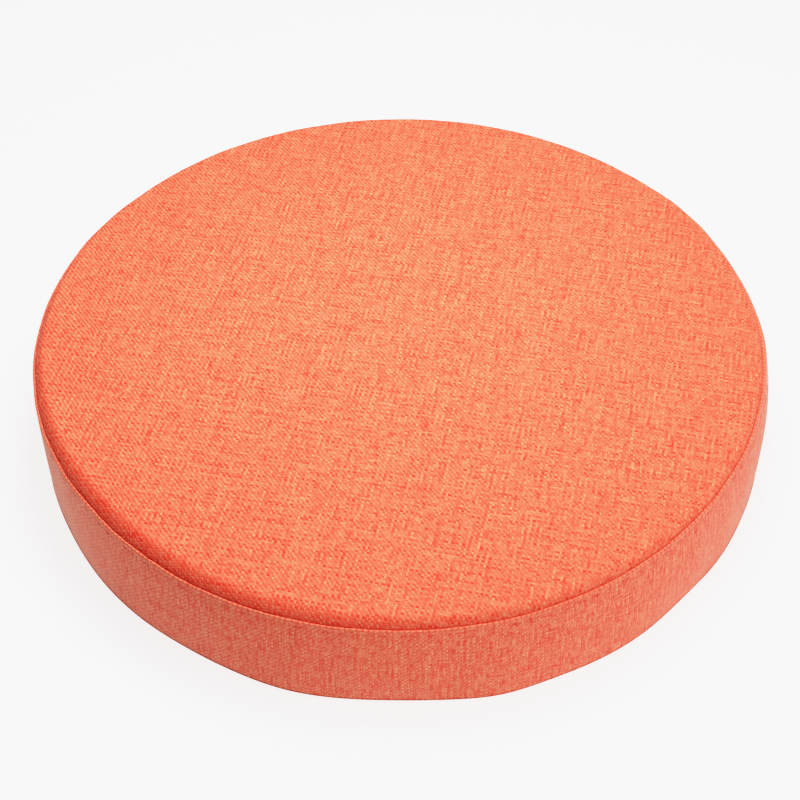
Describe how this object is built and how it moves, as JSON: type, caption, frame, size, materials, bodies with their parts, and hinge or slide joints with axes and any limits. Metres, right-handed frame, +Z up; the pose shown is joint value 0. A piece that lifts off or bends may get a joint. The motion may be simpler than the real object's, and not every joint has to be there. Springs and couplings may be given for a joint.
{
  "type": "round boxed outdoor chair cushion",
  "caption": "Round boxed seat cushion with a slightly crowned top panel, a straight side strip and plain sewn seams, in a coarse two-tone plain-weave cloth.",
  "frame": {"origin": "middle of the cushion's box, on the surface that it lies on", "axes": "+Z up through the crown, the cushion's thickness; -Y towards the front, where the picture's near edge is; the cushion is round about Z but for its slight unevenness"},
  "size_m": [0.401, 0.3996, 0.063],
  "materials": {
    "top_cloth": "coarse linen-look plain weave, light peach and orange-red yarns with slubs, matt",
    "side_cloth": "the same cloth on the side strip, its threads upright, paler and greyer at a flat angle",
    "base_cloth": "the same cloth on the bottom panel, matt"
  },
  "bodies": {
    "root": {"top_panel": "top_cloth", "filled_body": "side_cloth", "bottom_panel": "base_cloth"}
  },
  "joints": []
}
